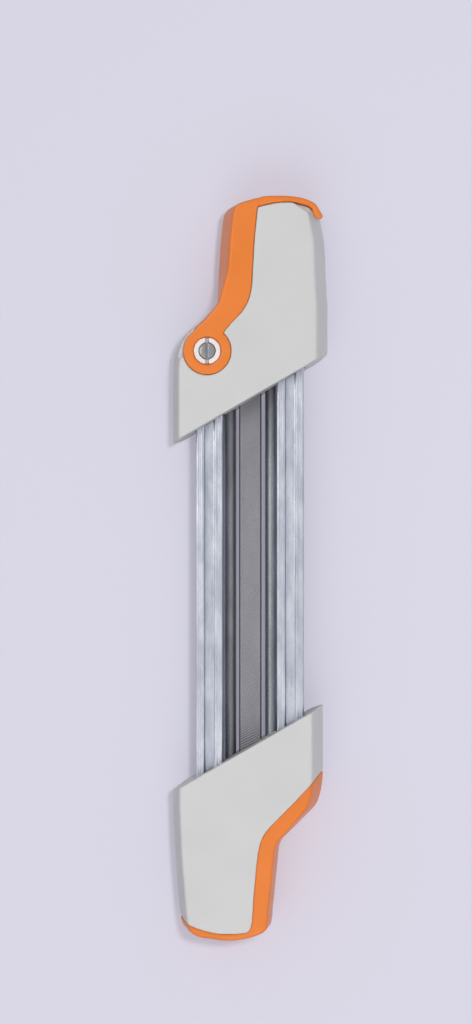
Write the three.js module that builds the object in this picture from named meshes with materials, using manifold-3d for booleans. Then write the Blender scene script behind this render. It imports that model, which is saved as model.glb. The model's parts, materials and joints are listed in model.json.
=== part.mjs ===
// A chainsaw file guide: two round files and a flat file held between two handles and two aluminium rails.
// Millimetres, +Z up. The tool lies on its back face and its length runs along Y.
// Each handle is drawn in a frame of its own: X across, Y outward from the slanted face, Z up from the back.
import * as THREE from 'three';
import { mergeVertices } from 'three/addons/utils/BufferGeometryUtils.js';
import Module from 'manifold-3d';

const wasm = await Module();
wasm.setup();

// Whole tool
const filingAngle = THREE.MathUtils.degToRad(30); // the slanted faces show it
const filingSlope = Math.tan(filingAngle);
const thickness = 30;
const diagonalOut = 73.1; // tool's middle to each slanted face, on the centre line
const overrun = 8; // how far a cut runs past what it cuts

// Moulded shells
const wall = 2.4;
const edgeRound = 1.4;
const sideFlare = 4.6; // how much further a handle's side stands out at its parting plane than at its faces
const partingGap = 0.3;
const fit = 0.35; // around what slides or swings
const seat = 0.3; // under what rests or is pressed home

// Files
const roundFileRadius = 2.6;
const roundFileAcross = 8.7; // centre line to a round file's axis
const flatFileWidth = 9.4;
const flatFileThickness = 4;
const fileLength = 200; // cutting length, without the tang
const roundFileEnd = 38.2; // slanted face's middle to the round files' upper ends
const flatFileEnd = 35.4;
const tangLength = 24;
const tangPoint = 6; // tapered tip of a tang
const tangRadius = 2;
const tangHalfWidth = 2.4;
const fileChamfer = 0.4;
const gaugeDrop = 0.65; // the flat file cuts this far below the rails' underside
const topPlateShare = 0.3; // share of a round file's diameter from the rails' underside down to its axis

// Rails
const railInner = 11.35; // centre line to a rail's inner side
const railWidth = 11.3;
const railHeight = 9;
const railFoot = 12; // back face to the rails' underside
const lipWidth = 3.6;
const channelDepth = 3;
const railChamfer = 0.5;
const shortRailEnd = 10; // slanted face's middle to the rail end beside the pivot
const longRailEnd = 29; // and to the rail end on the other side

// Rail pins
const pinRadius = 1.5;
const pinLow = 6;
const pinHigh = 25;
const pinChamfer = 0.4;
const pinBoss = 3.2;
const shortPinOut = 2.5;
const longPinOut = 20;

// Shell screws, driven from the back
const screwRadius = 1.5;
const screwLength = 20;
const screwHeadRadius = 2.8;
const screwHeadHeight = 2;
const screwHeadInset = 0.6;
const screwSocketRadius = 1.4;
const screwSocketDepth = 1.2;
const screwBoss = 4.4;
const railScrewAcross = 21.5;
const railScrewGap = 5.5; // from the long rail end to the screw beyond it

// Latch and its pivot
const pivotAcross = -17.5;
const pivotOut = 19.7;
const ringOuter = 9.9;
const ringInner = 5.9;
const ringThickness = 3.5;
const knuckleRadius = 21.6; // the shoulder under the neck is round about the pivot
const hookPass = 0.5; // how far the hook and the bar clear the grip's end corner
const latchSwing = THREE.MathUtils.degToRad(70);
const neckSide = THREE.MathUtils.degToRad(125); // direction of the neck's outer side, seen from the pivot
const barInset = 0.6;
const barRound = 0.7;
const hookThickness = 2; // at the front face alone
const footHeight = 7;
const footLow = 7.4;
const footThickness = 2.6;
const footOut = 40;
const footSide = 7; // how far the foot runs into the arm
const footEdge = 11.6; // and past the right round file's axis
const padThickness = 1.2;
const padInner = 1;

// Pivot collars, screw and barrel nut
const collarStem = 4;
const pivotHeadRadius = 3.4;
const pivotHeadHeight = 2.6;
const pivotHeadInset = 0.7;
const pivotShank = 2.45;
const pivotTip = 1.3;
const pivotTipLow = 6;
const pivotBoss = 5.6;
const collarInset = 0.3;
const collarSlot = 1.5;
const collarSlotDepth = 3;
const driverSlot = 0.9;
const driverSlotDepth = 1.1;

// Ribs and the tang socket
const ribOut = 15;
const ribThickness = 2.4;
const ribSide = 14; // the rib runs this far towards the pivot
const socketLength = 5.6;
const socketHalfWidth = 12;
const socketLow = 6.5;
const socketHeight = 9.5;
const cradleHalfWidth = 5;
const cradleWall = 2;
const cradleLip = 2.5;

// Derived heights
const middle = thickness / 2;
const railTop = railFoot + railHeight;
const roundFileHeight = railFoot - topPlateShare * 2 * roundFileRadius;
const flatFileFoot = railFoot - gaugeDrop;
const railAcross = railInner + railWidth / 2;
const recessFloor = thickness - ringThickness - seat;
const hookLow = thickness - barInset - hookThickness;
const socketOut = longRailEnd + 2 * seat;

// Outlines: shares of the half width across and of the reach outward
const hookTipShare = [0.83, 0.9];
const barCornerShare = [0.782, 0.943];
const upper = {
  halfWidth: 32.6,
  reach: 84.3,
  rightShares: [[1, 0.458], [0.975, 0.631], [0.96, 0.773], [0.905, 0.89]],
  endShares: [[0.856, 0.96], [0.675, 0.987], [0.411, 1], [0.214, 0.999], [0.098, 0.993], [-0.018, 0.983],
    [-0.14, 0.972], [-0.265, 0.957]],
  leftShares: [[-0.34, 0.922], [-0.366, 0.85], [-0.386, 0.766], [-0.402, 0.67], [-0.412, 0.59],
    [-0.418, 0.53], [-0.43, 0.478], [-0.53, 0.433], [-0.647, 0.387], [-0.736, 0.36], [-0.837, 0.325],
    [-0.929, 0.275], [-0.982, 0.21], [-1, 0.129]],
  leftFlareShares: [[0.7, 0.13], [0.65, 0.35], [0.3, 0.49], [1, 0.64]],
  rightFlareShare: 1,
  borderShares: [[-0.319, 0.325], [-0.23, 0.367], [-0.102, 0.418], [-0.013, 0.472], [0.03, 0.53],
    [0.046, 0.59], [0.058, 0.68], [0.077, 0.798], [0.115, 0.942]],
  gripEndShares: [[0.126, 0.942], [0.331, 0.96], [0.515, 0.9645], [0.675, 0.9535], [0.78, 0.938],
    [0.89, 0.915]],
  neckShares: [[-0.356, 0.528], [-0.43, 0.478], [-0.53, 0.433], [-0.647, 0.387], [-0.715, 0.357]],
  barOuterShares: [[0, 0.966], [0.118, 0.989], [0.214, 0.998], [0.411, 1], [0.607, 0.993], [0.74, 0.98],
    [0.835, 0.962], [0.88, 0.94], [0.912, 0.918], [0.94, 0.901], [0.928, 0.887], [0.897, 0.8835],
    [0.862, 0.888], hookTipShare],
  barInnerShares: [[0.819, 0.916], [0.808, 0.931], barCornerShare, [0.742, 0.951], [0.675, 0.9585],
    [0.6, 0.9645], [0.515, 0.969], [0.331, 0.9645], [0.123, 0.947], [0.03, 0.93]],
  gripScrewShares: [[0.583, 0.759]],
};
const lower = {
  halfWidth: 31.6,
  reach: 80,
  rightShares: [[1.03, 0.3], [1.005, 0.544], [0.97, 0.7225], [0.952, 0.811], [0.93, 0.89]],
  endShares: [[0.888, 0.949], [0.728, 0.9815], [0.509, 0.991], [0.282, 1], [0.057, 0.991], [-0.149, 0.969],
    [-0.272, 0.9375]],
  leftShares: [[-0.294, 0.856], [-0.312, 0.79], [-0.329, 0.7225], [-0.347, 0.655], [-0.364, 0.5875],
    [-0.379, 0.53], [-0.425, 0.487], [-0.51, 0.453], [-0.6, 0.418], [-0.69, 0.381], [-0.79, 0.342],
    [-0.875, 0.305], [-0.928, 0.25], [-0.956, 0.19], [-0.97, 0.126]],
  leftFlareShares: [[1, 0.13], [0.8, 0.3], [0.33, 0.5], [0.33, 0.8]],
  rightFlareShare: 0.8,
  borderShares: [[-1.1, 0.07], [-0.873, 0.1575], [-0.623, 0.265], [-0.285, 0.4], [-0.171, 0.4625],
    [-0.114, 0.544], [-0.079, 0.6775], [-0.057, 0.7675], [-0.035, 0.901], [0, 0.946]],
  gripEndShares: [[0.032, 0.955], [0.215, 0.964], [0.44, 0.96], [0.668, 0.9375], [0.845, 0.907],
    [1.05, 0.86]],
  gripScrewShares: [[0.538, 0.8], [-0.506, 0.2]],
};

// The hook and the bar swing past the grip's end corner, which is round about the pivot, in a step
const [hookTip, barCorner] = scaled([hookTipShare, barCornerShare], upper);
const hookReach = Math.hypot(hookTip.x - pivotAcross, hookTip.y - pivotOut) - hookPass;
const barReach = Math.hypot(barCorner.x - pivotAcross, barCorner.y - pivotOut) - hookPass;

const greyPlastic = { color: 0xcdcdca, roughness: 0.5, metalness: 0 };
const orangePlastic = { color: 0xe8823c, roughness: 0.45, metalness: 0 };
const whitePlastic = { color: 0xede6e2, roughness: 0.45, metalness: 0 };
const blackPlastic = { color: 0x2c2d2f, roughness: 0.6, metalness: 0 };
const blackRubber = { color: 0x1f1f20, roughness: 0.85, metalness: 0 };
const aluminium = { color: 0xc3c8ce, roughness: 0.35, metalness: 1 };
const darkSteel = { color: 0x62646a, roughness: 0.4, metalness: 1 };
const groundSteel = { color: 0x8e8e91, roughness: 0.45, metalness: 1 };
const platedSteel = { color: 0x9a9c9f, roughness: 0.3, metalness: 1 };

function vectors(pairs) {
  return pairs.map(([x, y]) => new THREE.Vector2(x, y));
}

// A closed geometry as a solid that can be joined and cut
function solid(geometry) {
  geometry.deleteAttribute('normal');
  geometry.deleteAttribute('uv');
  const merged = mergeVertices(geometry);
  return new wasm.Manifold(new wasm.Mesh({
    numProp: 3,
    vertProperties: new Float32Array(merged.attributes.position.array),
    triVerts: new Uint32Array(merged.index.array),
  }));
}

// A named mesh from a solid, in a material of its own
function piece(name, body, look) {
  const mesh = body.getMesh();
  const geometry = new THREE.BufferGeometry();
  geometry.setAttribute('position', new THREE.BufferAttribute(mesh.vertProperties, 3));
  geometry.setIndex(new THREE.BufferAttribute(mesh.triVerts, 1));
  geometry.computeVertexNormals();
  const made = new THREE.Mesh(geometry, new THREE.MeshStandardMaterial(look));
  made.name = name;
  return made;
}

function block(left, right, near, far, low, high) {
  const box = new THREE.BoxGeometry(right - left, far - near, high - low);
  box.translate((left + right) / 2, (near + far) / 2, (low + high) / 2);
  return solid(box);
}

// A round post along Z
function post(across, out, radius, low, high, sides = 16) {
  const cylinder = new THREE.CylinderGeometry(radius, radius, high - low, sides);
  cylinder.rotateX(Math.PI / 2);
  cylinder.translate(across, out, (low + high) / 2);
  return solid(cylinder);
}

// A round rod along Y
function rod(across, height, radius, near, far) {
  const cylinder = new THREE.CylinderGeometry(radius, radius, far - near, 24);
  cylinder.translate(across, (near + far) / 2, height);
  return solid(cylinder);
}

// A turned part along Z, from a profile of radii and heights that starts and ends on the axis
function turned(profile, sides = 24) {
  const lathe = new THREE.LatheGeometry(vectors(profile), sides);
  lathe.rotateX(Math.PI / 2);
  return solid(lathe);
}

// An outline extruded along Z; grow widens it on every side
function prism(points, low, high, grow = 0) {
  const geometry = new THREE.ExtrudeGeometry(new THREE.Shape(points), {
    depth: high - low,
    bevelEnabled: true,
    bevelSegments: 0,
    bevelThickness: 0,
    bevelSize: 0,
    bevelOffset: grow,
  });
  geometry.translate(0, 0, low);
  return solid(geometry);
}

function scaled(shares, handle) {
  return shares.map(([across, out]) => new THREE.Vector2(across * handle.halfWidth, out * handle.reach));
}

// The smooth curve through shares, with one point added between each two
function curved(shares, handle) {
  return new THREE.SplineCurve(scaled(shares, handle)).getPoints(2 * (shares.length - 1));
}

// Where a side of the outline lies across, at a distance out
function sideAt(points, out) {
  const next = points.findIndex((point) => point.y > out);
  if (next === 0) return points[0].x;
  if (next < 0) return points[points.length - 1].x;
  const before = points[next - 1];
  const after = points[next];
  return THREE.MathUtils.mapLinear(out, before.y, after.y, before.x, after.x);
}

// Widens a handle towards its parting plane, on its left and right sides alone
function flare(geometry, handle) {
  const left = scaled(handle.leftShares, handle).reverse();
  const right = scaled(handle.rightShares, handle);
  const leftFlare = scaled(handle.leftFlareShares, { halfWidth: sideFlare, reach: handle.reach });
  const places = geometry.attributes.position;
  for (let i = 0; i < places.count; i += 1) {
    const out = places.getY(i);
    const low = sideAt(left, out);
    const high = sideAt(right, out);
    const side = THREE.MathUtils.clamp((2 * places.getX(i) - low - high) / (high - low), -1, 1);
    const rise = Math.abs(places.getZ(i) - middle) / middle;
    const shift = side > 0 ? handle.rightFlareShare * sideFlare : sideAt(leftFlare, out);
    places.setX(i, places.getX(i) - side * shift * rise);
  }
  return geometry;
}

// The whole handle's outside, with its edges rounded, or what lies a given inset within it
function handleBody(handle, inset) {
  const left = handle.leftShares.at(-1)[0] * handle.halfWidth;
  const right = handle.rightShares[0][0] * handle.halfWidth;
  const outline = new THREE.Shape([
    new THREE.Vector2(left, left * filingSlope - overrun),
    new THREE.Vector2(right, right * filingSlope - overrun),
    ...curved([...handle.rightShares, ...handle.endShares, ...handle.leftShares], handle),
  ]);
  const round = inset > 0 ? 0 : edgeRound;
  const geometry = new THREE.ExtrudeGeometry(outline, {
    depth: thickness - 2 * (inset + round),
    steps: 2,
    bevelThickness: round,
    bevelSize: round,
    bevelOffset: -round - inset,
    bevelSegments: inset > 0 ? 0 : 3,
  });
  geometry.translate(0, 0, inset + round);
  return solid(flare(geometry, handle));
}

// The grey plastic's share of a handle, from an inset behind the slanted face; grow widens its other sides
function greyRegion(handle, inset, grow) {
  const side = handle.halfWidth + overrun;
  const start = (inset + grow) / Math.cos(filingAngle);
  const border = curved(handle.borderShares, handle).reverse();
  const corner = border.at(-1);
  return prism([
    new THREE.Vector2(-side, start - side * filingSlope),
    new THREE.Vector2(side, start + side * filingSlope),
    new THREE.Vector2(side, scaled(handle.gripEndShares, handle).at(-1).y),
    ...curved(handle.gripEndShares, handle).reverse(),
    ...border,
    new THREE.Vector2(-side, Math.min(corner.y, pivotOut)),
  ], -overrun, thickness + overrun, grow);
}

function pivotDisc(radius, low = -overrun, high = thickness + overrun, sides = 60) {
  return post(pivotAcross, pivotOut, radius, low, high, sides);
}

// Left and right rail ends as slots, in a handle's own frame
function railSlots() {
  const low = railFoot - fit;
  const high = railTop + fit;
  const inner = railInner - fit;
  const outer = railInner + railWidth + fit;
  const start = -outer * filingSlope - overrun;
  const short = block(-outer, -inner, start, shortRailEnd + seat, low, high);
  const long = block(inner, outer, start, longRailEnd + seat, low, high);
  return short.add(long);
}

function fileChannels(end) {
  const start = -railInner * filingSlope - overrun;
  const half = flatFileWidth / 2 + fit;
  const radius = roundFileRadius + fit;
  return block(-half, half, start, end, flatFileFoot - fit, flatFileFoot + flatFileThickness + fit)
    .add(rod(-roundFileAcross, roundFileHeight, radius, start, end))
    .add(rod(roundFileAcross, roundFileHeight, radius, start, end));
}

// A handle's shell screws: one beyond the long rail's end, the others in the grip
function screwPlaces(handle) {
  const beyondRail = new THREE.Vector2(railScrewAcross, longRailEnd + railScrewGap);
  return [beyondRail, ...scaled(handle.gripScrewShares, handle)];
}

// Posts that carry the screws and pins, and the rib that carries the files
function handleRibs(handle) {
  const inside = wall / 2;
  let ribs = block(-ribSide, handle.halfWidth, ribOut, ribOut + ribThickness, inside, thickness - inside);
  screwPlaces(handle).forEach(({ x, y }) => {
    ribs = ribs.add(post(x, y, screwBoss, inside, thickness - inside));
  });
  [[-railAcross, shortPinOut], [railAcross, longPinOut]].forEach(([across, out]) => {
    ribs = ribs.add(post(across, out, pinBoss, inside, railFoot - seat));
    ribs = ribs.add(post(across, out, pinBoss, railTop + seat, thickness - inside));
  });
  return ribs;
}

function handleBores(handle) {
  let bores = railSlots();
  const headSeat = screwHeadInset + screwHeadHeight + seat;
  screwPlaces(handle).forEach(({ x, y }) => {
    bores = bores.add(post(x, y, screwHeadRadius + fit, -overrun, headSeat));
    bores = bores.add(post(x, y, screwRadius + seat, 0, headSeat + screwLength, 12));
  });
  [[-railAcross, shortPinOut], [railAcross, longPinOut]].forEach(([across, out]) => {
    bores = bores.add(post(across, out, pinRadius + seat, pinLow - seat, pinHigh + seat, 12));
  });
  return bores;
}

// Cuts a handle at its parting plane
function halves(body) {
  const side = upper.halfWidth + overrun;
  const end = upper.reach + overrun;
  const frontHalf = block(-side, side, -end, end, middle + partingGap / 2, thickness + overrun);
  const backHalf = block(-side, side, -end, end, -overrun, middle - partingGap / 2);
  return [body.intersect(frontHalf), body.intersect(backHalf)];
}

// The part of the latch's border that runs along its neck
function neckBorder() {
  return curved(upper.borderShares.slice(0, 5), upper);
}

// The space in which the latch's ring and neck lie and turn, in both faces of the shoulder
function latchRecess(grow) {
  const side = upper.halfWidth + overrun;
  const turn = neckSide + latchSwing - Math.PI;
  const border = neckBorder();
  const sweep = [
    new THREE.Vector2(pivotAcross, pivotOut),
    ...border,
    new THREE.Vector2(border.at(-1).x, border.at(-1).y + overrun),
    new THREE.Vector2(-side, border.at(-1).y + overrun),
    new THREE.Vector2(-side, pivotOut - (side + pivotAcross) * Math.tan(turn)),
  ];
  const faces = [[-overrun, thickness - recessFloor + grow], [recessFloor - grow, thickness + overrun]];
  const cuts = faces.map(([low, high]) => prism(sweep, low, high, grow)
    .add(pivotDisc(ringOuter + fit + grow, low, high)));
  return cuts[0].add(cuts[1]);
}

function upperShells() {
  const outside = handleBody(upper, 0);
  const reach = pivotDisc(hookReach).add(pivotDisc(barReach, -overrun, hookLow - fit));
  const region = greyRegion(upper, 0, 0).add(pivotDisc(knuckleRadius)).intersect(reach);
  const body = outside.intersect(region);
  const hollow = handleBody(upper, wall)
    .intersect(greyRegion(upper, wall, fit).add(pivotDisc(knuckleRadius - wall)))
    .intersect(pivotDisc(hookReach - wall));
  const ribs = handleRibs(upper).add(pivotDisc(pivotBoss, 0, thickness, 24)).intersect(body);
  const recessed = body.subtract(hollow)
    .add(ribs)
    .add(latchRecess(wall).intersect(body))
    .subtract(latchRecess(0))
    .subtract(pivotDisc(collarStem + fit, -overrun, thickness + overrun, 24))
    .subtract(handleBores(upper))
    .subtract(fileChannels(upper.reach + overrun));
  return halves(recessed);
}

function lowerShells() {
  const outside = handleBody(lower, 0);
  const body = outside.intersect(greyRegion(lower, 0, 0));
  const hollow = handleBody(lower, wall).intersect(greyRegion(lower, wall, fit));
  const cradleTop = socketLow + cradleLip;
  const cradle = block(-cradleHalfWidth, cradleHalfWidth, socketOut - seat - cradleWall,
    socketOut + socketLength + seat + cradleWall, wall / 2, cradleTop)
    .subtract(block(-socketHalfWidth, socketHalfWidth, socketOut - seat, socketOut + socketLength + seat,
      socketLow - seat, cradleTop + overrun));
  const hold = block(-cradleHalfWidth, cradleHalfWidth, socketOut, socketOut + socketLength,
    socketLow + socketHeight + seat, thickness - wall / 2);
  const ribs = handleRibs(lower).add(cradle).add(hold).intersect(body);
  return halves(body.subtract(hollow)
    .add(ribs)
    .subtract(handleBores(lower))
    .subtract(fileChannels(ribOut + ribThickness + overrun)));
}

// The room for the round files' tangs and their socket in the lower handle
function tangRoom() {
  const end = fileLength + tangLength - roundFileEnd - 2 * diagonalOut + seat;
  const half = socketHalfWidth + fit;
  return block(-half, half, socketOut - seat, socketOut + socketLength + seat, socketLow - seat,
    socketLow + socketHeight + seat)
    .add(rod(-roundFileAcross, roundFileHeight, tangRadius + fit, ribOut, end))
    .add(rod(roundFileAcross, roundFileHeight, tangRadius + fit, ribOut, end));
}

// The orange strip down the lower grip's inner side and the rim round its end, one C-shaped moulding
function trim() {
  const far = lower.reach + overrun;
  const side = lower.halfWidth + overrun;
  const start = scaled(lower.borderShares, lower)[1];
  return handleBody(lower, 0)
    .subtract(greyRegion(lower, -overrun * 2, fit))
    .intersect(block(-side, side, start.y - overrun, far, -overrun, thickness + overrun))
    .subtract(handleBody(lower, wall))
    .subtract(tangRoom());
}

// The bar across the grip's end, from inside the arm to its hook, with its edges rounded
function endBar() {
  const outline = [...curved(upper.barOuterShares, upper), ...curved(upper.barInnerShares, upper)];
  const geometry = new THREE.ExtrudeGeometry(new THREE.Shape(outline), {
    depth: thickness - 2 * (barInset + barRound),
    bevelThickness: barRound,
    bevelSize: barRound,
    bevelOffset: -barRound,
    bevelSegments: 3,
  });
  geometry.translate(0, 0, barInset + barRound);
  return solid(geometry).subtract(block(barCorner.x, upper.halfWidth, 0, barCorner.y, 0, hookLow));
}

// One moulding: ring and neck plates on both faces, hollow arm, end bar with its hook, and the inner foot
function latch() {
  const side = upper.halfWidth + overrun;
  const far = upper.reach + overrun;
  const border = curved(upper.borderShares, upper);
  const armRadius = knuckleRadius + fit;
  const armRegion = prism([
    ...border.map((point) => new THREE.Vector2(point.x - fit, point.y)),
    new THREE.Vector2(border.at(-1).x - fit, far),
    new THREE.Vector2(-side, far),
    new THREE.Vector2(-side, border[0].y),
  ], -overrun, thickness + overrun).subtract(pivotDisc(armRadius));
  const outside = handleBody(upper, 0);
  const arm = outside.intersect(armRegion);
  const heel = pivotDisc(armRadius + wall).intersect(arm);
  const foot = block(-footSide, footEdge, footOut, footOut + footThickness, footLow, footLow + footHeight);
  const neckOutline = [
    ...neckBorder().map((point) => new THREE.Vector2(point.x - fit, point.y)),
    ...scaled(upper.neckShares, upper),
    new THREE.Vector2(pivotAcross, pivotOut),
  ];
  const plates = [[0, ringThickness], [thickness - ringThickness, thickness]];
  let body = arm.subtract(handleBody(upper, wall)).add(heel).add(endBar()).add(foot);
  plates.forEach(([low, high]) => {
    const neck = prism(neckOutline, low, high).intersect(outside);
    body = body.add(neck).add(pivotDisc(ringOuter, low, high, 48));
  });
  return body.subtract(pivotDisc(ringInner, -overrun, thickness + overrun, 48));
}

// A stepped bush, split across its flange, drawn for the front face
function collar() {
  const flange = ringInner - fit;
  const bore = pivotShank + seat;
  const head = pivotHeadRadius + seat;
  const headSeat = thickness - pivotHeadInset - pivotHeadHeight - seat;
  const top = thickness - collarInset;
  const flangeLow = recessFloor + seat;
  const low = middle + partingGap / 2;
  const body = turned([
    [bore, low], [collarStem, low], [collarStem, flangeLow], [flange, flangeLow], [flange, top],
    [head, top], [head, headSeat], [bore, headSeat], [bore, low],
  ]);
  const half = collarSlot / 2;
  return body.subtract(block(-half, half, -ringInner, ringInner, top - collarSlotDepth, top + overrun));
}

function pivotScrew() {
  const top = thickness - pivotHeadInset;
  const neck = top - pivotHeadHeight;
  const body = turned([
    [0, pivotTipLow], [pivotTip, pivotTipLow], [pivotTip, middle], [pivotShank, middle],
    [pivotShank, neck], [pivotHeadRadius, neck], [pivotHeadRadius, top], [0, top],
  ]);
  return body.subtract(driver(top));
}

function driver(top) {
  return block(-driverSlot / 2, driverSlot / 2, -ringInner, ringInner, top - driverSlotDepth, top + overrun);
}

// A barrel nut with a slotted head in the rear ring; the screw's tip runs into its sleeve
function pivotNut() {
  const bore = pivotTip + seat;
  const sleeve = middle - seat;
  const head = pivotHeadInset + pivotHeadHeight;
  const body = turned([
    [0, pivotHeadInset], [pivotHeadRadius, pivotHeadInset], [pivotHeadRadius, head], [pivotShank, head],
    [pivotShank, sleeve], [bore, sleeve], [bore, pivotTipLow - seat], [0, pivotTipLow - seat],
  ]);
  const slot = block(-driverSlot / 2, driverSlot / 2, -ringInner, ringInner, -overrun,
    pivotHeadInset + driverSlotDepth);
  return body.subtract(slot);
}

// A channel section on its back, extruded along Y and drilled for its pins
function rail(sign) {
  const half = railWidth / 2;
  const floor = railHeight - channelDepth;
  const section = new THREE.Shape(vectors([
    [-half, 0], [half, 0], [half, railHeight - railChamfer], [half - railChamfer, railHeight],
    [half - lipWidth, railHeight], [half - lipWidth, floor], [lipWidth - half, floor],
    [lipWidth - half, railHeight], [railChamfer - half, railHeight], [-half, railHeight - railChamfer],
  ]));
  const far = diagonalOut + longRailEnd;
  const near = diagonalOut + shortRailEnd;
  const bar = new THREE.ExtrudeGeometry(section, { depth: near + far, bevelEnabled: false });
  bar.rotateX(Math.PI / 2);
  bar.rotateZ(sign > 0 ? 0 : Math.PI);
  const across = sign * railAcross;
  bar.translate(across, sign * far, railFoot);
  return [sign * (diagonalOut + longPinOut), -sign * (diagonalOut + shortPinOut)]
    .reduce((body, out) => body.subtract(post(across, out, pinRadius + seat, 0, thickness, 12)), solid(bar));
}

function roundFile() {
  const top = diagonalOut + roundFileEnd;
  const shoulder = top - fileLength;
  const tip = shoulder - tangLength;
  const profile = [
    [0, tip], [tangRadius / 2, tip], [tangRadius, tip + tangPoint], [tangRadius, shoulder - tangRadius],
    [roundFileRadius, shoulder], [roundFileRadius, top - fileChamfer], [roundFileRadius - fileChamfer, top],
    [0, top],
  ];
  return solid(new THREE.LatheGeometry(vectors(profile), 24));
}

function flatFile() {
  const top = diagonalOut + flatFileEnd;
  const shoulder = top - fileLength;
  const tip = shoulder - tangLength;
  const half = flatFileWidth / 2;
  const side = [
    [half, top], [half, shoulder], [tangHalfWidth, shoulder - tangHalfWidth],
    [tangHalfWidth, tip + tangPoint], [tangHalfWidth / 2, tip],
  ];
  const mirrored = side.map(([across, out]) => [-across, out]).reverse();
  const plate = new THREE.ExtrudeGeometry(new THREE.Shape(vectors([...side, ...mirrored])), {
    depth: flatFileThickness - 2 * fileChamfer,
    bevelThickness: fileChamfer,
    bevelSize: fileChamfer,
    bevelOffset: -fileChamfer,
    bevelSegments: 1,
  });
  plate.translate(0, 0, flatFileFoot + fileChamfer);
  return solid(plate);
}

function tangSocket() {
  const end = socketOut + socketLength;
  const tang = tangHalfWidth + fit;
  const near = socketOut - overrun;
  return block(-socketHalfWidth, socketHalfWidth, socketOut, end, socketLow, socketLow + socketHeight)
    .subtract(rod(-roundFileAcross, roundFileHeight, tangRadius + fit, near, end + overrun))
    .subtract(rod(roundFileAcross, roundFileHeight, tangRadius + fit, near, end + overrun))
    .subtract(block(-tang, tang, near, end + overrun, flatFileFoot - fit, thickness));
}

function filePad() {
  const far = footOut - seat;
  return block(-padInner, footEdge, far - padThickness, far, footLow, footLow + footHeight);
}

function pin() {
  const length = pinHigh - pinLow;
  return turned([
    [0, 0], [pinRadius - pinChamfer, 0], [pinRadius, pinChamfer], [pinRadius, length - pinChamfer],
    [pinRadius - pinChamfer, length], [0, length],
  ], 12);
}

function shellScrew() {
  const head = screwHeadHeight;
  const socket = new THREE.CylinderGeometry(screwSocketRadius, screwSocketRadius, 2 * screwSocketDepth, 6);
  socket.rotateX(Math.PI / 2);
  return turned([
    [0, 0], [screwHeadRadius, 0], [screwHeadRadius, head], [screwRadius, head],
    [screwRadius, head + screwLength - screwRadius], [0, head + screwLength],
  ], 16).subtract(solid(socket));
}

const guide = new THREE.Group();
guide.position.y = (lower.reach - upper.reach) / 2;

const upperHandle = new THREE.Group();
upperHandle.position.y = diagonalOut;
guide.add(upperHandle);

const lowerHandle = new THREE.Group();
lowerHandle.position.y = -diagonalOut;
lowerHandle.rotation.z = Math.PI;
guide.add(lowerHandle);

const [upperFront, upperBack] = upperShells();
upperHandle.add(piece('upper_front_shell', upperFront, greyPlastic));
upperHandle.add(piece('upper_back_shell', upperBack, greyPlastic));
upperHandle.add(piece('latch_lever', latch(), orangePlastic));
upperHandle.add(piece('file_end_pad', filePad(), blackRubber));

const [lowerFront, lowerBack] = lowerShells();
lowerHandle.add(piece('lower_front_shell', lowerFront, greyPlastic));
lowerHandle.add(piece('lower_back_shell', lowerBack, greyPlastic));
lowerHandle.add(piece('lower_trim', trim(), orangePlastic));
lowerHandle.add(piece('tang_socket', tangSocket(), blackPlastic));

const pivot = new THREE.Group();
pivot.position.set(pivotAcross, pivotOut, 0);
upperHandle.add(pivot);
pivot.add(piece('pivot_collar', collar(), whitePlastic));
pivot.add(piece('pivot_screw', pivotScrew(), platedSteel));
pivot.add(piece('pivot_nut', pivotNut(), platedSteel));
const rearCollar = piece('rear_collar', collar(), whitePlastic);
rearCollar.rotation.y = Math.PI;
rearCollar.position.z = thickness;
pivot.add(rearCollar);

guide.add(piece('left_rail', rail(-1), aluminium));
guide.add(piece('right_rail', rail(1), aluminium));
guide.add(piece('flat_file', flatFile(), groundSteel));
[['left', -1], ['right', 1]].forEach(([side, sign]) => {
  const file = piece(`${side}_round_file`, roundFile(), darkSteel);
  file.position.set(sign * roundFileAcross, 0, roundFileHeight);
  guide.add(file);
});

[['upper', upperHandle, upper], ['lower', lowerHandle, lower]].forEach(([name, group, handle]) => {
  [['short', -railAcross, shortPinOut], ['long', railAcross, longPinOut]].forEach(([end, across, out]) => {
    const railPin = piece(`${name}_${end}_rail_pin`, pin(), platedSteel);
    railPin.position.set(across, out, pinLow);
    group.add(railPin);
  });
  screwPlaces(handle).forEach(({ x, y }, index) => {
    const screw = piece(`${name}_screw_${index + 1}`, shellScrew(), platedSteel);
    screw.position.set(x, y, screwHeadInset);
    group.add(screw);
  });
});

export default guide;
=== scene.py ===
import json
import math

import bpy
from mathutils import Matrix, Vector


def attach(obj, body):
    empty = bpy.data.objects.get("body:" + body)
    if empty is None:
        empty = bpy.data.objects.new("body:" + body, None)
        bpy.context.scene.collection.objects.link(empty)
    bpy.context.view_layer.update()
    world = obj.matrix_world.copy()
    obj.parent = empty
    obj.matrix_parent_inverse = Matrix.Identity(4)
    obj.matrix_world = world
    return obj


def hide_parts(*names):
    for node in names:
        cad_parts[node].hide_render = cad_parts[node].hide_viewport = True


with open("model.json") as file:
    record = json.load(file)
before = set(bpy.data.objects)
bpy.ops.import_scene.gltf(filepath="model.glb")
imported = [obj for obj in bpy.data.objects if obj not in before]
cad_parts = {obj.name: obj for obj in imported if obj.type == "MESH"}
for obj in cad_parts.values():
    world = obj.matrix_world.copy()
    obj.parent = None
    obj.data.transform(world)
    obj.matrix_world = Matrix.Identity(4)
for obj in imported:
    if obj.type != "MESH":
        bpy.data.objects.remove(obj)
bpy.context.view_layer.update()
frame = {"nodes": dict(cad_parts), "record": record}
mm = 0.001

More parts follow.
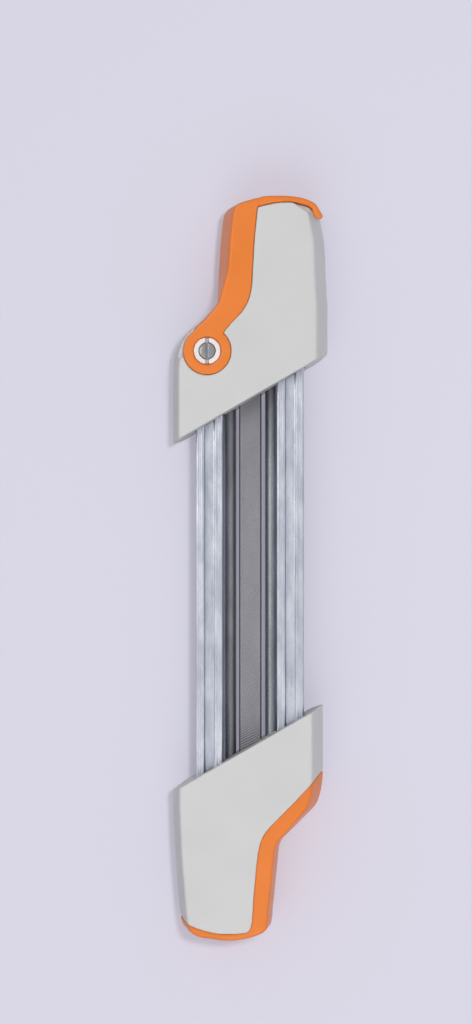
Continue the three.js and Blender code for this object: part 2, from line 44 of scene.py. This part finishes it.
# Camera: above the tool, a little to its right, as the photograph was taken
cameraView = {
    "aim": (-5.4, 23.45, 30),  # what lies in the middle of the photograph
    "distance": 1050,
    "sideways": 44,  # how far right of the aim the camera hangs
    "endways": 0,
    "height": 426,  # what the long side of the picture takes in at the front faces
    "sensor": 36,
    "nearest": 10,
    "farthest": 10000,
}


def makeCamera(view):
    aim = Vector(view["aim"]) * mm
    place = aim + Vector((view["sideways"], view["endways"], view["distance"])) * mm
    data = bpy.data.cameras.new("camera")
    data.sensor_width = view["sensor"]
    data.lens = view["sensor"] * view["distance"] / view["height"]
    data.clip_start = view["nearest"] * mm
    data.clip_end = view["farthest"] * mm
    camera = bpy.data.objects.new("camera", data)
    back = (place - aim).normalized()
    right = Vector((0, 1, 0)).cross(back).normalized()
    turn = Matrix((right, back.cross(right), back)).transposed()
    camera.matrix_world = Matrix.Translation(place) @ turn.to_4x4()
    bpy.context.scene.collection.objects.link(camera)
    bpy.context.scene.camera = camera


makeCamera(cameraView)
print("camera placed")


# From an sRGB hex value to the linear colour that a shader takes
def toLinear(colour):
    parts = [int(colour[i:i + 2], 16) / 255 for i in (1, 3, 5)]
    return [*(p / 12.92 if p <= 0.04045 else ((p + 0.055) / 1.055) ** 2.4 for p in parts), 1]


def addNode(tree, kind, settings, inputs):
    node = tree.nodes.new(kind)
    for name, value in settings.items():
        setattr(node, name, value)
    for name, value in inputs.items():
        if isinstance(value, bpy.types.NodeSocket):
            tree.links.new(value, node.inputs[name])
        else:
            node.inputs[name].default_value = value
    return node


def startMaterial(name):
    material = bpy.data.materials.new(name)
    material.use_nodes = True
    tree = material.node_tree
    shader = tree.nodes["Principled BSDF"]
    place = addNode(tree, "ShaderNodeTexCoord", {}, {}).outputs["Object"]
    return material, tree, shader, place


def waves(size):
    return 1 / (size * mm)  # noise scale for features of that size in millimetres


# ABS, injection moulded against a spark-eroded tool: an even satin skin with a fine grain
greyAbs = {
    "colour": "#CCCCCC",
    "shade": "#C8C8C8",
    "roughness": 0.46,
    "ior": 1.53,
    "shine": 0.4,
    "grain": 0.5,  # drawn coarser than the real 0.1 mm, so that it shows
    "grainDepth": 0.012,
    "flow": 26,  # slow changes of tone where the melt ran
}
# ABS again, from a smoother tool: the same skin with a fuller gloss
orangeAbs = {
    "colour": "#E87F33",
    "shade": "#E27A2C",
    "roughness": 0.34,
    "ior": 1.53,
    "shine": 0.3,
    "grain": 0.6,
    "grainDepth": 0.008,
    "flow": 18,
}
# Acetal, injection moulded: a milky white with a soft, waxy sheen
whiteAcetal = {
    "colour": "#EDE4E2",
    "shade": "#E4DAD8",
    "roughness": 0.4,
    "ior": 1.48,
    "shine": 0.5,
    "grain": 0.6,
    "grainDepth": 0.004,
    "flow": 6,
}
# Nylon with glass fibre, injection moulded: near black, dull and a little rough
blackNylon = {
    "colour": "#2C2D2F",
    "shade": "#343537",
    "roughness": 0.55,
    "ior": 1.53,
    "shine": 0.5,
    "grain": 0.5,
    "grainDepth": 0.015,
    "flow": 8,
}
# Nitrile rubber, pressed in a mould: black with hardly any shine
nitrileRubber = {
    "colour": "#1F1F20",
    "shade": "#29292A",
    "roughness": 0.8,
    "ior": 1.52,
    "shine": 0.5,
    "grain": 0.4,
    "grainDepth": 0.02,
    "flow": 5,
}
# What the mouldings share
mouldedSkin = {
    "toneFrom": 0.35,  # the stretch of the noise that runs from the colour to the shade
    "toneTo": 0.7,
    "flowDetail": 3,
    "grainDetail": 2,
    "reliefStrength": 0.4,
    "glossSpread": 0.05,  # how much the roughness varies with the grain, each way
}


# Two tones from one pattern, mixed in sockets 6 and 7, and gloss and relief from another
def dressSurface(tree, shader, look, skin, tones, relief, depth):
    tone = addNode(tree, "ShaderNodeMapRange", {}, {
        "Value": tones, "From Min": skin["toneFrom"], "From Max": skin["toneTo"]})
    mix = addNode(tree, "ShaderNodeMix", {"data_type": "RGBA"}, {
        0: tone.outputs["Result"], 6: toLinear(look["colour"]), 7: toLinear(look["shade"])})
    tree.links.new(mix.outputs[2], shader.inputs["Base Color"])
    gloss = addNode(tree, "ShaderNodeMapRange", {}, {
        "Value": relief,
        "To Min": look["roughness"] - skin["glossSpread"],
        "To Max": look["roughness"] + skin["glossSpread"]})
    tree.links.new(gloss.outputs["Result"], shader.inputs["Roughness"])
    bump = addNode(tree, "ShaderNodeBump", {}, {
        "Height": relief, "Strength": skin["reliefStrength"], "Distance": depth * mm})
    tree.links.new(bump.outputs["Normal"], shader.inputs["Normal"])


def mouldedPlastic(name, look):
    material, tree, shader, place = startMaterial(name)
    skin = mouldedSkin
    flow = addNode(tree, "ShaderNodeTexNoise", {}, {
        "Vector": place, "Scale": waves(look["flow"]), "Detail": skin["flowDetail"]})
    grain = addNode(tree, "ShaderNodeTexNoise", {}, {
        "Vector": place, "Scale": waves(look["grain"]), "Detail": skin["grainDetail"]})
    dressSurface(tree, shader, look, skin, flow.outputs["Fac"], grain.outputs["Fac"], look["grainDepth"])
    shader.inputs["IOR"].default_value = look["ior"]
    shader.inputs["Specular IOR Level"].default_value = look["shine"]
    return material


# Aluminium, extruded and clear anodised: pale, with die lines along it and cloudy bright patches
anodisedAluminium = {
    "colour": "#A6AAB6",
    "shade": "#C1C5CF",
    "roughness": 0.28,
    "line": 0.5,
    "lineLength": 90,
    "lineDepth": 0.012,
    "cloud": 5,
    "cloudLength": 16,
}
# File steel, hardened in oil after its teeth were cut: dark grey with a faint mottle
roundFileSteel = {
    "colour": "#8D8F95",
    "shade": "#7C7E84",
    "roughness": 0.5,
    "line": 0.5,
    "lineLength": 6,
    "lineDepth": 0.01,
    "cloud": 6,
    "cloudLength": 20,
}
# The same steel, ground flat before its teeth were cut: a plainer grey with a little more shine
flatFileSteel = {
    "colour": "#7C7B80",
    "shade": "#747479",
    "roughness": 0.42,
    "line": 0.4,
    "lineLength": 10,
    "lineDepth": 0.008,
    "cloud": 9,
    "cloudLength": 30,
}
# Steel, zinc plated: a fine even grey with a cool cast
platedSteel = {
    "colour": "#8F9194",
    "shade": "#7C7E82",
    "roughness": 0.3,
    "line": 0.3,
    "lineLength": 1.5,
    "lineDepth": 0.004,
    "cloud": 3,
    "cloudLength": 3,
}
# What the metals share
drawnSkin = {
    "toneFrom": 0.38,
    "toneTo": 0.66,
    "lineDetail": 2,
    "cloudDetail": 5,
    "cloudRoughness": 0.6,
    "reliefStrength": 0.5,
    "glossSpread": 0.08,
}


# A pattern drawn out along the tool, with features so many millimetres across and along it
def drawnPattern(tree, place, across, along, inputs):
    drawn = addNode(tree, "ShaderNodeMapping", {}, {"Vector": place, "Scale": (1, across / along, 1)})
    return addNode(tree, "ShaderNodeTexNoise", {}, {
        "Vector": drawn.outputs["Vector"], "Scale": waves(across), **inputs}).outputs["Fac"]


def drawnMetal(name, look):
    material, tree, shader, place = startMaterial(name)
    skin = drawnSkin
    lines = drawnPattern(tree, place, look["line"], look["lineLength"], {"Detail": skin["lineDetail"]})
    clouds = drawnPattern(tree, place, look["cloud"], look["cloudLength"], {
        "Detail": skin["cloudDetail"], "Roughness": skin["cloudRoughness"]})
    dressSurface(tree, shader, look, skin, clouds, lines, look["lineDepth"])
    shader.inputs["Metallic"].default_value = 1
    return material


materials = {
    "grey_abs": mouldedPlastic("grey_abs", greyAbs),
    "orange_plastic": mouldedPlastic("orange_abs", orangeAbs),
    "white_plastic": mouldedPlastic("white_acetal", whiteAcetal),
    "black_plastic": mouldedPlastic("black_nylon", blackNylon),
    "rubber": mouldedPlastic("nitrile_rubber", nitrileRubber),
    "rail_aluminium": drawnMetal("anodised_aluminium", anodisedAluminium),
    "round_file_steel": drawnMetal("round_file_steel", roundFileSteel),
    "flat_file_steel": drawnMetal("flat_file_steel", flatFileSteel),
    "plated_steel": drawnMetal("zinc_plated_steel", platedSteel),
}
print("materials made")

bodyOf = {node: body for body, nodes in frame["record"]["behaviour"]["bodies"].items() for node in nodes}
slotOf = {part["node"]: part["material_slot"] for part in frame["record"]["subparts"]}


def finishPiece(piece, name, node):
    piece.name = name
    piece.data.name = name
    piece.data.materials.clear()
    piece.data.materials.append(materials[slotOf[node]])
    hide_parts(node)
    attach(piece, bodyOf[node])


def boxOf(node):
    places = [vertex.co / mm for vertex in frame["nodes"][node].data.vertices]
    return [Vector([end(place[i] for place in places) for i in range(3)]) for end in (min, max)]


def middleOf(node):
    low, high = boxOf(node)
    return (low + high) / 2


def selectOnly(piece):
    bpy.ops.object.select_all(action="DESELECT")
    piece.select_set(True)
    bpy.context.view_layer.objects.active = piece


def bakePlace():
    bpy.ops.object.transform_apply(location=True, rotation=True, scale=True)
    return bpy.context.object


# How near two places count as one, in millimetres
near = 0.01  # for a corner, edge or face that is looked for
capNear = 0.5  # for the face that closes an end, whose middle lies by the axis
mergeNear = 0.002
sliceNear = 0.001
facing = 0.9  # how much of a face's normal has to point the way that is looked for


def isNear(value, *others):
    return min(abs(value - other) for other in others) < near


# Selects a piece's corners, edges or faces by where they lie, and stays in edit mode
def pick(piece, kind, test):
    bpy.ops.object.mode_set(mode="EDIT")
    bpy.ops.mesh.select_mode(type=kind)
    bpy.ops.mesh.select_all(action="DESELECT")
    bpy.ops.object.mode_set(mode="OBJECT")
    places = [vertex.co / mm for vertex in piece.data.vertices]
    if kind == "VERT":
        for vertex in piece.data.vertices:
            vertex.select = test(places[vertex.index])
    elif kind == "EDGE":
        for edge in piece.data.edges:
            edge.select = test(*(places[i] for i in edge.vertices))
    else:
        for face in piece.data.polygons:
            face.select = test(face.center / mm, face.normal)
    bpy.ops.object.mode_set(mode="EDIT")


def slide(x=0, y=0, z=0):
    bpy.ops.transform.translate(value=Vector((x, y, z)) * mm)


def pull(x=0, y=0, z=0):
    bpy.ops.mesh.extrude_region_move(TRANSFORM_OT_translate={"value": Vector((x, y, z)) * mm})


def resize(scale, centre):
    bpy.ops.transform.resize(value=scale, center_override=Vector(centre) * mm)


# Cuts all that is in edit mode along a plane, and drops what lies beyond it or keeps both sides
def sliceAt(place, normal, drop=False):
    bpy.ops.mesh.select_all(action="SELECT")
    bpy.ops.mesh.bisect(plane_co=Vector(place) * mm, plane_no=normal, use_fill=drop, clear_outer=drop,
                        threshold=sliceNear * mm)


# A flat cross-section that fills a box's width and height, at one place along the tool
def addSection(low, high, along):
    middle = (low + high) / 2
    bpy.ops.object.select_all(action="DESELECT")
    bpy.ops.mesh.primitive_plane_add(size=mm, rotation=(math.pi / 2, 0, 0),
                                     location=(middle.x * mm, along * mm, middle.z * mm))
    bpy.context.object.scale = (high.x - low.x, high.z - low.z, 1)
    return bakePlace()


def addCylinder(sides, radius, height, place):
    bpy.ops.object.select_all(action="DESELECT")
    bpy.ops.mesh.primitive_cylinder_add(vertices=sides, radius=radius * mm, depth=height * mm,
                                        location=Vector(place) * mm)
    return bakePlace()


def tidyMesh(piece, smoothAngle):
    bpy.ops.object.mode_set(mode="EDIT")
    bpy.ops.mesh.select_all(action="SELECT")
    bpy.ops.mesh.remove_doubles(threshold=mergeNear * mm)
    bpy.ops.mesh.normals_make_consistent(inside=False)
    bpy.ops.object.mode_set(mode="OBJECT")
    bpy.ops.object.shade_smooth_by_angle(angle=math.radians(smoothAngle))


def cutAway(piece, cutter):
    cut = piece.modifiers.new("cut", "BOOLEAN")
    cut.operation = "DIFFERENCE"
    cut.object = cutter
    selectOnly(piece)
    bpy.ops.object.modifier_apply(modifier="cut")
    bpy.data.objects.remove(cutter)


def copyPiece(piece):
    selectOnly(piece)
    bpy.ops.object.duplicate()
    return bpy.context.object


# Shells, latch, trim and collars: the moulded shapes with every edge rounded, as plastic leaves a mould
mouldings = {
    "skin": 0.45,  # mesh spacing
    "swell": 0.14,  # outwards, so that joints between mouldings show as fine lines
    "bondedSwell": 0.2,  # where the trim is bonded to its shells
    "softness": {  # smoothing passes, each a little more rounding
        "upper_front_shell": 4,
        "upper_back_shell": 4,
        "lower_front_shell": 3,
        "lower_back_shell": 3,
        "latch_lever": 12,
        "lower_trim": 7,
        "pivot_collar": 2,
        "rear_collar": 2,
    },
}


def softMoulding(node, look):
    source = frame["nodes"][node]
    piece = bpy.data.objects.new(node + "_copy", source.data.copy())
    bpy.context.scene.collection.objects.link(piece)
    selectOnly(piece)
    bpy.ops.object.mode_set(mode="EDIT")
    bpy.ops.mesh.select_all(action="SELECT")
    bpy.ops.mesh.remove_doubles(threshold=mergeNear * mm)
    bpy.ops.object.mode_set(mode="OBJECT")
    skin = piece.modifiers.new("skin", "REMESH")
    skin.mode = "VOXEL"
    skin.voxel_size = look["skin"] * mm
    soften = piece.modifiers.new("soften", "SMOOTH")
    soften.iterations = look["softness"][node]
    swell = piece.modifiers.new("swell", "DISPLACE")
    swell.strength = look["bondedSwell" if node.startswith("lower") else "swell"] * mm
    swell.mid_level = 0
    for modifier in ("skin", "soften", "swell"):
        bpy.ops.object.modifier_apply(modifier=modifier)
    low, high = boxOf(node)  # the swell stays inside it
    for vertex in piece.data.vertices:
        vertex.co = [min(max(vertex.co[i], low[i] * mm), high[i] * mm) for i in range(3)]
    bpy.ops.object.shade_smooth()
    finishPiece(piece, node + "_moulding", node)


for node in mouldings["softness"]:
    softMoulding(node, mouldings)
print("mouldings softened")

# Rails: a channel section, drawn out along the tool and drilled for its pins
railLook = {
    "lip": 3.6,  # width
    "channel": 3,  # depth
    "edgeRound": 0.6,  # outer edges of the lips
    "cornerRound": 0.35,
    "steps": 4,
    "dieLines": (1.3, 2),  # fine lines that the die leaves in a lip, from its outer side
    "lineWidth": 0.3,
    "lineDepth": 0.04,
    "pinHole": 1.8,  # radius
    "pinHoleSides": 24,
    "smoothAngle": 30,
}


def makeRail(look):
    low, high = boxOf("left_rail")
    inner = (low.x + look["lip"], high.x - look["lip"])
    floor = high.z - look["channel"]
    lines = [low.x + out for out in look["dieLines"]] + [high.x - out for out in look["dieLines"]]
    piece = addSection(low, high, low.y)
    bpy.ops.object.mode_set(mode="EDIT")
    for across in inner:
        sliceAt((across, 0, 0), (1, 0, 0))
    for across in lines:
        for side in (-0.5, 0, 0.5):  # a die line's two edges and its middle
            sliceAt((across + side * look["lineWidth"], 0, 0), (1, 0, 0))
    sliceAt((0, 0, floor), (0, 0, 1))
    pick(piece, "FACE", lambda centre, normal: inner[0] < centre.x < inner[1] and centre.z > floor)
    bpy.ops.mesh.delete(type="FACE")
    bpy.ops.mesh.select_all(action="SELECT")
    bpy.ops.mesh.dissolve_faces()
    pick(piece, "VERT", lambda place: place.z > high.z - near and isNear(place.x, *lines))
    slide(z=-look["lineDepth"])
    pick(piece, "VERT", lambda place: place.z > high.z - near and isNear(place.x, low.x, high.x))
    bpy.ops.mesh.bevel(affect="VERTICES", offset=look["edgeRound"] * mm, segments=look["steps"])
    pick(piece, "VERT", lambda place: place.z > floor - near and isNear(place.x, *inner))
    bpy.ops.mesh.bevel(affect="VERTICES", offset=look["cornerRound"] * mm, segments=look["steps"])
    pick(piece, "FACE", lambda centre, normal: True)
    pull(y=high.y - low.y)
    tidyMesh(piece, look["smoothAngle"])
    drill = 3 * (high.z - low.z)  # well past both sides of the rail
    for pin in ("upper_short_rail_pin", "lower_long_rail_pin"):
        cutAway(piece, addCylinder(look["pinHoleSides"], look["pinHole"], drill, middleOf(pin)))
    return piece


leftRail = makeRail(railLook)
rightRail = copyPiece(leftRail)
bpy.ops.transform.rotate(value=math.pi, orient_axis="Z",
                         center_override=(middleOf("left_rail") + middleOf("right_rail")) / 2 * mm)
bakePlace()
finishPiece(leftRail, "left_rail_extrusion", "left_rail")
finishPiece(rightRail, "right_rail_extrusion", "right_rail")
print("rails extruded")

# Round files: one turn of teeth, wound up the file, cut to length and drawn out into a tang
roundFileLook = {
    "cutting": 200,
    "starts": 6,  # teeth that wind round the file together
    "tooth": 1.05,  # drawn wider than the real 0.7 mm, so that the cut shows
    "toothDepth": 0.1,
    "toothShape": ((0.62, 0.3), (0.84, 1)),  # along a tooth, and how deep there
    "sides": 28,
    "spareTurns": 2,  # cut off again at the two ends
    "endChamfer": 0.4,
    "tang": 2,
    "tangPoint": 6,
    "tangNarrowing": 0.5,
    "smoothAngle": 30,
}


def makeRoundFile(look):
    low, high = boxOf("left_round_file")
    axis = (low + high) / 2
    radius = (high.x - low.x) / 2
    shoulder = high.y - look["cutting"]
    lead = look["starts"] * look["tooth"]
    bpy.ops.object.select_all(action="DESELECT")
    bpy.ops.mesh.primitive_plane_add(size=mm, location=(axis.x * mm, (shoulder - lead) * mm, axis.z * mm))
    piece = bpy.context.object
    bpy.ops.object.mode_set(mode="EDIT")
    bpy.ops.mesh.select_mode(type="VERT")
    bpy.ops.mesh.merge(type="CENTER")
    slide(x=radius)
    for tooth in range(look["starts"]):
        along, deep = 0, 0
        for nextAlong, nextDeep in (*look["toothShape"], (1, 0)):
            pull(x=(deep - nextDeep) * look["toothDepth"], y=(nextAlong - along) * look["tooth"])
            along, deep = nextAlong, nextDeep
    bpy.ops.object.mode_set(mode="OBJECT")
    wind = piece.modifiers.new("wind", "SCREW")
    wind.axis = "Y"
    wind.screw_offset = lead * mm
    wind.iterations = math.ceil(look["cutting"] / lead) + look["spareTurns"]
    wind.steps = look["sides"]
    wind.render_steps = look["sides"]
    bpy.ops.object.modifier_apply(modifier="wind")
    bakePlace()
    tidyMesh(piece, look["smoothAngle"])
    end = high.y - look["endChamfer"]
    bpy.ops.object.mode_set(mode="EDIT")
    sliceAt((0, end, 0), (0, 1, 0), drop=True)
    sliceAt((0, shoulder, 0), (0, -1, 0), drop=True)
    pick(piece, "FACE", lambda centre, normal: isNear(centre.y, end) and abs(centre.x - axis.x) < capNear)
    pull(y=look["endChamfer"])
    narrow = 1 - look["endChamfer"] / radius
    resize((narrow, 1, narrow), axis)
    pick(piece, "FACE",
         lambda centre, normal: isNear(centre.y, shoulder) and abs(centre.x - axis.x) < capNear)
    pull(y=-look["tang"])
    narrow = look["tang"] / radius
    resize((narrow, 1, narrow), axis)
    pull(y=low.y + look["tangPoint"] + look["tang"] - shoulder)
    pull(y=-look["tangPoint"])
    resize((look["tangNarrowing"], 1, look["tangNarrowing"]), axis)
    tidyMesh(piece, look["smoothAngle"])
    return piece


leftFile = makeRoundFile(roundFileLook)
rightFile = copyPiece(leftFile)
bpy.ops.transform.translate(value=(middleOf("right_round_file") - middleOf("left_round_file")) * mm)
bakePlace()
finishPiece(leftFile, "left_file_teeth", "left_round_file")
finishPiece(rightFile, "right_file_teeth", "right_round_file")
print("round files wound")

# Flat file: one tooth, repeated up the blade, set aslant, cut to length and drawn out into a tang
flatFileLook = {
    "cutting": 200,
    "tooth": 1.1,  # drawn wider than the real 0.8 mm, so that the cut shows
    "toothDepth": 0.06,
    "toothShape": ((0.7, 0.3), (0.88, 1)),
    "slant": 25,  # degrees from straight across
    "edge": 0.5,  # ground flat along the four long corners
    "spareTeeth": 3,  # cut off again at the two ends
    "toothJoin": 0.005,  # how near the ends of two teeth become one
    "tang": 2.4,
    "tangPoint": 6,
    "tangNarrowing": 0.5,
    "smoothAngle": 30,
}


def makeFlatFile(look):
    low, high = boxOf("flat_file")
    centre = (low + high) / 2
    half = (high.x - low.x) / 2
    fullHeight = high.z - low.z
    shoulder = high.y - look["cutting"]
    slant = 2 * half * math.tan(math.radians(look["slant"]))
    start = shoulder - slant - look["tooth"]
    piece = addSection(low, high, start)
    pick(piece, "VERT", lambda place: True)
    bpy.ops.mesh.bevel(affect="VERTICES", offset=look["edge"] * mm, segments=1)
    pick(piece, "FACE", lambda place, normal: True)
    along, height = 0, fullHeight
    for nextAlong, deep in (*look["toothShape"], (1, 0)):
        nextHeight = fullHeight - 2 * deep * look["toothDepth"]
        pull(y=(nextAlong - along) * look["tooth"])
        resize((1, 1, nextHeight / height), centre)
        along, height = nextAlong, nextHeight
    pick(piece, "FACE", lambda place, normal: abs(normal.y) > facing)
    bpy.ops.mesh.delete(type="ONLY_FACE")
    bpy.ops.object.mode_set(mode="OBJECT")
    row = piece.modifiers.new("row", "ARRAY")
    row.use_relative_offset = False
    row.use_constant_offset = True
    row.constant_offset_displace = (0, look["tooth"] * mm, 0)
    row.count = math.ceil((look["cutting"] + slant) / look["tooth"]) + look["spareTeeth"]
    row.use_merge_vertices = True
    row.merge_threshold = look["toothJoin"] * mm
    bpy.ops.object.modifier_apply(modifier="row")
    pick(piece, "VERT", lambda place: place.x > centre.x)
    slide(y=slant)
    sliceAt((0, high.y, 0), (0, 1, 0), drop=True)
    sliceAt((0, shoulder, 0), (0, -1, 0), drop=True)
    pick(piece, "FACE", lambda place, normal: isNear(place.y, shoulder) and abs(place.x - centre.x) < capNear)
    pull(y=-look["tang"])
    resize((look["tang"] / half, 1, 1), centre)
    pull(y=low.y + look["tangPoint"] + look["tang"] - shoulder)
    pull(y=-look["tangPoint"])
    resize((look["tangNarrowing"], 1, 1), centre)
    tidyMesh(piece, look["smoothAngle"])
    return piece


finishPiece(makeFlatFile(flatFileLook), "flat_file_teeth", "flat_file")
print("flat file cut")

# Pivot screw and barrel nut: a slotted head with a rounded edge, a shank, and the screw's tip or nut's bore
pivotLook = {
    "headHeight": 2.6,
    "headRound": 0.4,
    "headSteps": 4,
    "shank": 2.45,  # radius, as are the tip and the bore
    "slot": 1,
    "slotDepth": 1.1,
    "slotRound": 0.1,
    "slotSteps": 2,
    "tip": 1.3,
    "bore": 1.6,
    "sides": 48,
    "smoothAngle": 35,
}


def slottedHead(shankEnd, look):
    low, high = boxOf("pivot_screw")
    middle = (low + high) / 2
    radius = (high.x - low.x) / 2
    headMiddle = (middle.x, middle.y, high.z - look["headHeight"] / 2)
    piece = addCylinder(look["sides"], radius, look["headHeight"], headMiddle)
    pick(piece, "EDGE", lambda a, b: min(a.z, b.z) > high.z - near)
    bpy.ops.mesh.bevel(offset=look["headRound"] * mm, segments=look["headSteps"])
    pick(piece, "FACE", lambda centre, normal: normal.z < -facing)
    bpy.ops.mesh.inset(thickness=(radius - look["shank"]) * mm)
    pull(z=shankEnd + look["headHeight"] - high.z)
    bpy.ops.object.mode_set(mode="OBJECT")
    bpy.ops.object.select_all(action="DESELECT")
    bpy.ops.mesh.primitive_cube_add(size=mm, location=(middle.x * mm, middle.y * mm, high.z * mm))
    bpy.context.object.scale = (look["slot"], 4 * radius, 2 * look["slotDepth"])  # well past the head's rim
    cutAway(piece, bakePlace())
    walls = (middle.x - look["slot"] / 2, middle.x + look["slot"] / 2)
    pick(piece, "EDGE",
         lambda a, b: min(a.z, b.z) > high.z - near and isNear(a.x, *walls) and isNear(a.x, b.x))
    bpy.ops.mesh.bevel(offset=look["slotRound"] * mm, segments=look["slotSteps"], clamp_overlap=True)
    return piece


def makePivot(look):
    screwLow, screwHigh = boxOf("pivot_screw")
    nutLow, nutHigh = boxOf("pivot_nut")
    parting = (screwHigh.z + nutLow.z) / 2
    screw = slottedHead(parting, look)
    pick(screw, "FACE", lambda centre, normal: normal.z < -facing and centre.z < parting + near)
    bpy.ops.mesh.inset(thickness=(look["shank"] - look["tip"]) * mm)
    pull(z=screwLow.z - parting)
    tidyMesh(screw, look["smoothAngle"])
    finishPiece(screw, "pivot_screw_slotted", "pivot_screw")
    shankEnd = 2 * parting - nutHigh.z
    nut = slottedHead(shankEnd, look)
    pick(nut, "FACE", lambda centre, normal: normal.z < -facing and centre.z < shankEnd + near)
    bpy.ops.mesh.inset(thickness=(look["shank"] - look["bore"]) * mm)
    pull(z=nutHigh.z - screwLow.z)  # the bore, as deep as the screw's tip reaches
    tidyMesh(nut, look["smoothAngle"])
    selectOnly(nut)
    bpy.ops.transform.rotate(value=math.pi, orient_axis="Y",
                             center_override=Vector((middleOf("pivot_nut").x, 0, parting)) * mm)
    bakePlace()
    finishPiece(nut, "pivot_nut_slotted", "pivot_nut")


makePivot(pivotLook)
print("pivot turned")

# Shell screws: pan heads with a hexagon socket, driven from the back
shellScrewLook = {
    "head": 2,  # height
    "headRound": 0.6,
    "headSteps": 4,
    "shank": 1.5,  # radius, as is the socket
    "socket": 1.4,
    "socketSides": 6,
    "socketDepth": 1.2,
    "point": 1.5,
    "pointNarrowing": 0.1,
    "sides": 32,
    "smoothAngle": 35,
}


def makeShellScrew(look):
    low, high = boxOf("upper_screw_1")
    middle = (low + high) / 2
    radius = (high.x - low.x) / 2
    headMiddle = (middle.x, middle.y, low.z + look["head"] / 2)
    piece = addCylinder(look["sides"], radius, look["head"], headMiddle)
    pick(piece, "EDGE", lambda a, b: max(a.z, b.z) < low.z + near)
    bpy.ops.mesh.bevel(offset=look["headRound"] * mm, segments=look["headSteps"])
    pick(piece, "FACE", lambda centre, normal: normal.z > facing)
    bpy.ops.mesh.inset(thickness=(radius - look["shank"]) * mm)
    pull(z=high.z - low.z - look["head"] - look["point"])
    pull(z=look["point"])
    resize((look["pointNarrowing"], look["pointNarrowing"], 1), middle)
    bpy.ops.object.mode_set(mode="OBJECT")
    headFace = (middle.x, middle.y, low.z)
    cutAway(piece, addCylinder(look["socketSides"], look["socket"], 2 * look["socketDepth"], headFace))
    tidyMesh(piece, look["smoothAngle"])
    return piece


firstScrew = makeShellScrew(shellScrewLook)
for node in ("upper_screw_2", "lower_screw_1", "lower_screw_2", "lower_screw_3"):
    screw = copyPiece(firstScrew)
    bpy.ops.transform.translate(value=(middleOf(node) - middleOf("upper_screw_1")) * mm)
    bakePlace()
    finishPiece(screw, node + "_socketed", node)
finishPiece(firstScrew, "upper_screw_1_socketed", "upper_screw_1")
print("shell screws driven")

# Tang socket, rubber pad and rail pins: their solids are right, and get a fuller material
for node, source in frame["nodes"].items():
    if not source.hide_render:
        for holder in source.material_slots:
            holder.material = materials[slotOf[node]]

# Stage: a pale matt board, a small main lamp, a wide fill and two soft boxes
stage = {
    "floor": "#B7B5C1",
    "floorGlow": "#807F89",  # lit from beneath, so that the shadows stay pale
    "floorRoughness": 0.9,
    "floorSize": 3000,
    "floorDrop": 0.3,  # below the tool's back, so that no two faces share a place
    "air": "#FFFFFF",
    "airStrength": 0.48,
    "keyFrom": (230, 160, 1300),  # the main lamp: small, so that shadows are crisp
    "keySize": 130,
    "keyPower": 7,
    "fillFrom": (-60, -700, 1000),
    "fillSize": 900,
    "fillPower": 3,
    "sheenFrom": (-420, 200, 800),  # soft boxes that only show as gloss: on the files
    "sheenSize": 300,
    "sheenPower": 1.4,
    "rimFrom": (-560, 760, 500),  # and along the rounded edges
    "rimSize": 400,
    "rimPower": 4,
}


# 1 for what the camera sees, straight or as gloss, and 0 for the light that falls on things
def whatIsSeen(tree):
    rays = addNode(tree, "ShaderNodeLightPath", {}, {}).outputs
    return addNode(tree, "ShaderNodeMath", {"operation": "MAXIMUM"}, {
        0: rays["Is Camera Ray"], 1: rays["Is Glossy Ray"]}).outputs["Value"]


def makeStage(look):
    bpy.ops.object.select_all(action="DESELECT")
    bpy.ops.mesh.primitive_plane_add(size=look["floorSize"] * mm, location=(0, 0, -look["floorDrop"] * mm))
    floor = bpy.context.object
    floor.name = "floor"
    material, tree, shader, place = startMaterial("matt_board")
    shader.inputs["Base Color"].default_value = toLinear(look["floor"])
    shader.inputs["Roughness"].default_value = look["floorRoughness"]
    shader.inputs["Emission Color"].default_value = toLinear(look["floorGlow"])
    tree.links.new(whatIsSeen(tree), shader.inputs["Emission Strength"])
    floor.data.materials.append(material)
    for name in ("key", "fill", "sheen", "rim"):
        data = bpy.data.lights.new(name, "AREA")
        data.size = look[name + "Size"] * mm
        data.energy = look[name + "Power"]
        lamp = bpy.data.objects.new(name, data)
        lamp.location = Vector(look[name + "From"]) * mm
        lamp.rotation_euler = (-lamp.location).to_track_quat("-Z", "Y").to_euler()
        lamp.visible_glossy = name != "key"
        lamp.visible_diffuse = name in ("key", "fill")
        bpy.context.scene.collection.objects.link(lamp)
    world = bpy.data.worlds.new("air")
    world.use_nodes = True
    tree = world.node_tree
    strength = addNode(tree, "ShaderNodeMapRange", {}, {
        "Value": whatIsSeen(tree), "To Min": look["airStrength"]})
    tree.nodes["Background"].inputs["Color"].default_value = toLinear(look["air"])
    tree.links.new(strength.outputs["Result"], tree.nodes["Background"].inputs["Strength"])
    bpy.context.scene.world = world
    bpy.context.scene.view_settings.view_transform = "Standard"


makeStage(stage)
print("stage lit")
